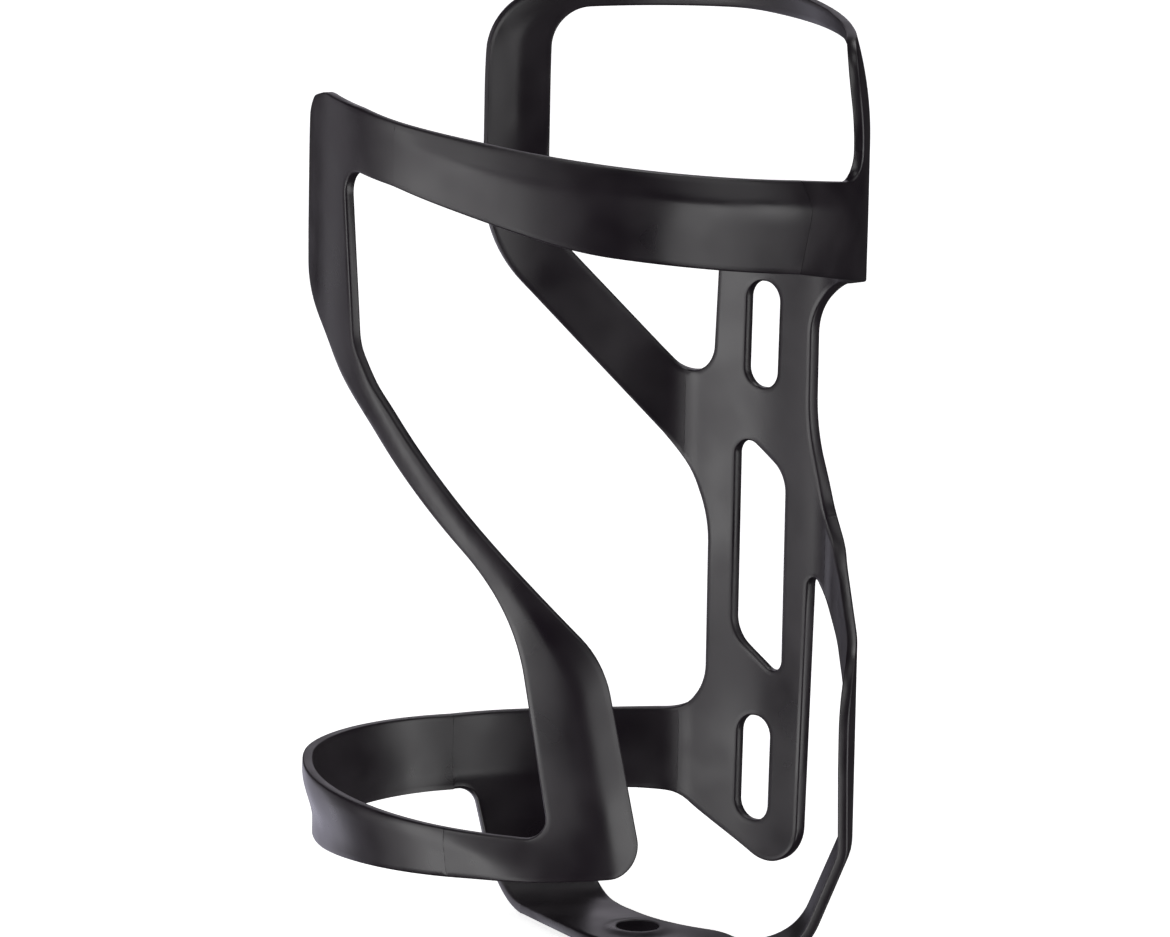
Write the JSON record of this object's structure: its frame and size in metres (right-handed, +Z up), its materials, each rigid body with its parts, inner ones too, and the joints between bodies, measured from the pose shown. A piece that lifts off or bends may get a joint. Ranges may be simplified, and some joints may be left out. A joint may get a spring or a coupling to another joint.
{
  "type": "water bottle cage",
  "caption": "Side-entry bicycle water bottle cage: thin moulded bands, strut, hoop and foot wrap the bottle and join a slotted spine that bolts to the frame tube.",
  "frame": {"origin": "midway between the two bolt slots, on the back face of the spine that stands on the frame tube", "axes": "+Z up along the bottle's axis and the spine, +Y out of the spine's back face towards the frame tube, +X to the rail's side, the bottle in front towards -Y"},
  "size_m": [0.0778, 0.0811, 0.1365],
  "materials": {
    "spine_carbon": "satin moulded carbon composite",
    "arm_carbon": "satin moulded carbon composite",
    "front_carbon": "satin moulded carbon composite",
    "hoop_carbon": "satin moulded carbon composite",
    "foot_carbon": "satin moulded carbon composite"
  },
  "bodies": {
    "root": {"spine_plate": "spine_carbon", "upper_arm": "arm_carbon", "upper_band_root": "arm_carbon", "rail_arm": "arm_carbon", "rail_upright": "arm_carbon", "lower_band_rear": "arm_carbon", "lower_band_side": "front_carbon", "lower_band_front": "front_carbon", "corner_panel": "front_carbon", "front_strut": "front_carbon", "ear_panel": "front_carbon", "upper_band": "front_carbon", "hoop_left_post": "hoop_carbon", "hoop_bar": "hoop_carbon", "hoop_right_post": "hoop_carbon", "foot_strap": "foot_carbon", "foot_plate": "foot_carbon", "foot_riser": "foot_carbon"}
  },
  "joints": []
}
